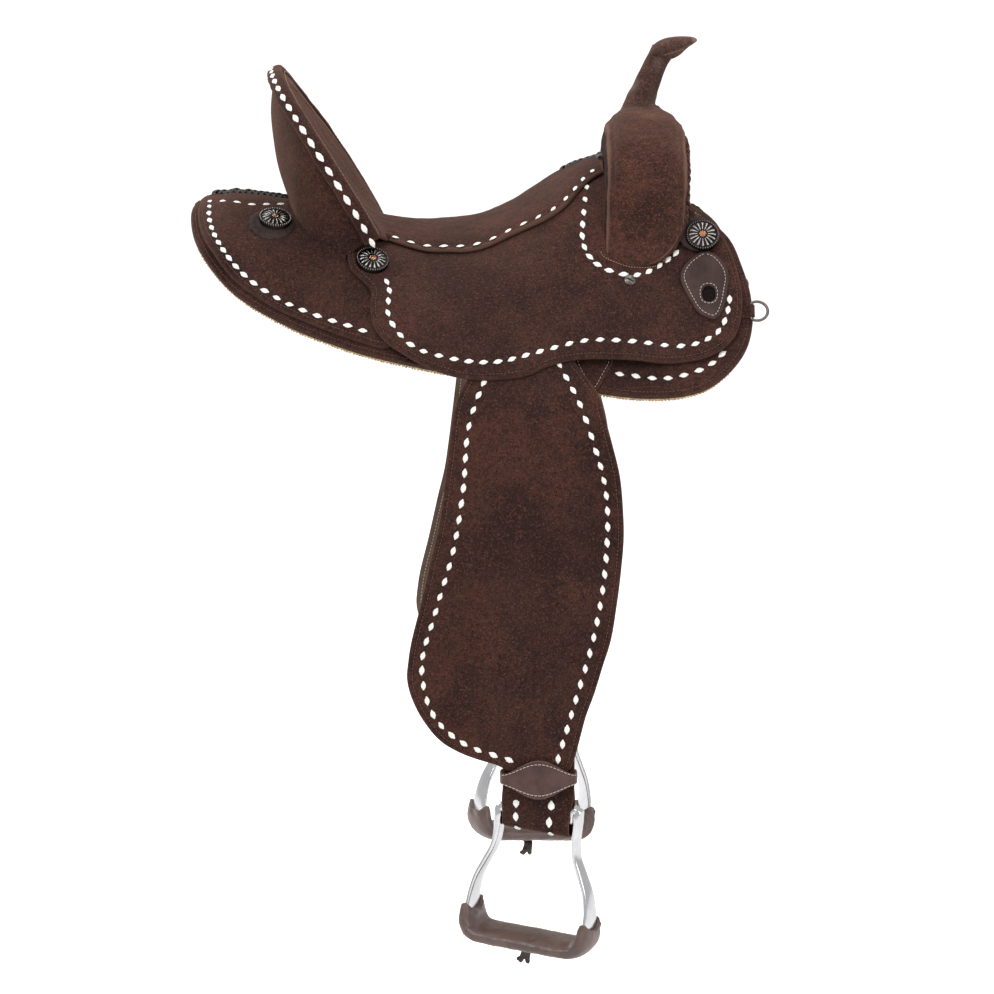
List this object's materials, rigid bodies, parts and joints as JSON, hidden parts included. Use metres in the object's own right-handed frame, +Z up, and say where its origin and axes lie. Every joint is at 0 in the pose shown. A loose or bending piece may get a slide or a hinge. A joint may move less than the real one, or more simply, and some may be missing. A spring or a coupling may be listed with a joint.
{
  "type": "barrel racing saddle",
  "caption": "Rough-out leather barrel racing saddle with high cantle, rounded swell, tall horn, hanging fenders and metal stirrups with leather treads.",
  "frame": {"origin": "on the centre plane, at the height of the horse's spine under the middle of the seat", "axes": "+X to the horse's head and the saddle's horn, +Y to the horse's left, +Z up"},
  "size_m": [0.6351, 0.5798, 0.9964],
  "materials": {
    "suede": "dark brown rough-out suede, napped",
    "leather": "dark brown smooth leather, satin",
    "lacing": "black whip lace",
    "fleece": "cream wool fleece",
    "wood": "plain tree wood, covered",
    "aluminium": "polished",
    "steel": "dark antiqued",
    "silver": "antiqued silver with a copper flower"
  },
  "bodies": {
    "saddle": {"cantle_back_cover": "suede", "cantle_binding": "suede", "ground_seat": "leather", "horn_cap": "leather", "horn_core": "steel", "horn_wrap": "leather", "rear_lacing": "lacing", "seat_lacing": "lacing", "seat_pad": "suede", "swell_cover": "suede", "swell_lacing": "lacing", "tree_cantle": "wood", "tree_fork": "wood", "breast_tab_left": "leather", "breast_tab_right": "leather", "concho_front_left": "silver", "concho_front_right": "silver", "concho_rear_left": "silver", "concho_rear_right": "silver", "concho_seat_left": "silver", "concho_seat_right": "silver", "fleece_left": "fleece", "fleece_right": "fleece", "rear_jockey_left": "suede", "rear_jockey_right": "suede", "rigging_dee_left": "steel", "rigging_dee_right": "steel", "rigging_leather_left": "leather", "rigging_leather_right": "leather", "rosette_front_left": "leather", "rosette_front_right": "leather", "rosette_rear_left": "leather", "rosette_rear_right": "leather", "side_jockey_left": "suede", "side_jockey_right": "suede", "skirt_left": "suede", "skirt_right": "suede", "tree_bar_left": "wood", "tree_bar_right": "wood"},
    "fender_set_left": {"fender_left": "suede", "stirrup_leather_left": "suede", "hobble_strap_left": "leather", "strap_buckle_left": "steel"},
    "stirrup_set_left": {"stirrup_left": "aluminium", "tread_wrap_left": "leather", "tread_lace_left": "lacing"},
    "keeper_left": {"latigo_keeper_left": "leather"},
    "dee_left": {"breast_dee_left": "steel"},
    "fender_set_right": {"fender_right": "suede", "stirrup_leather_right": "suede", "hobble_strap_right": "leather", "strap_buckle_right": "steel"},
    "stirrup_set_right": {"stirrup_right": "aluminium", "tread_wrap_right": "leather", "tread_lace_right": "lacing"},
    "keeper_right": {"latigo_keeper_right": "leather"},
    "dee_right": {"breast_dee_right": "steel"}
  },
  "joints": [
    {"name": "fender_swing_left", "type": "hinge", "parent": "saddle", "child": "fender_set_left", "pos_m": [0.07, 0.19724, -0.08012], "axis": [0, -0.8434, -0.5373], "range_deg": [-30, 25]},
    {"name": "stirrup_swing_left", "type": "hinge", "parent": "fender_set_left", "child": "stirrup_set_left", "pos_m": [0.076, 0.23749, -0.56681], "axis": [0.9237, 0.3732, -0.0872], "range_deg": [-45, 45]},
    {"name": "keeper_turn_left", "type": "hinge", "parent": "saddle", "child": "keeper_left", "pos_m": [0.25002, 0.13634, 0.04352], "axis": [0, -0.8434, -0.5373], "range_deg": [-5, 20]},
    {"name": "breast_dee_swing_left", "type": "hinge", "parent": "saddle", "child": "dee_left", "pos_m": [0.3005, 0.17355, -0.03475], "axis": [0, -0.5373, 0.8434], "range_deg": [-50, 90]},
    {"name": "fender_swing_right", "type": "hinge", "parent": "saddle", "child": "fender_set_right", "pos_m": [0.07, -0.19724, -0.08012], "axis": [0, -0.8434, 0.5373], "range_deg": [-30, 25]},
    {"name": "stirrup_swing_right", "type": "hinge", "parent": "fender_set_right", "child": "stirrup_set_right", "pos_m": [0.07, -0.23749, -0.58381], "axis": [-0.9237, 0.3732, 0.0872], "range_deg": [-45, 45]},
    {"name": "keeper_turn_right", "type": "hinge", "parent": "saddle", "child": "keeper_right", "pos_m": [0.25002, -0.13634, 0.04352], "axis": [0, -0.8434, 0.5373], "range_deg": [-5, 20]},
    {"name": "breast_dee_swing_right", "type": "hinge", "parent": "saddle", "child": "dee_right", "pos_m": [0.3005, -0.17355, -0.03475], "axis": [0, -0.5373, -0.8434], "range_deg": [-50, 90]}
  ]
}
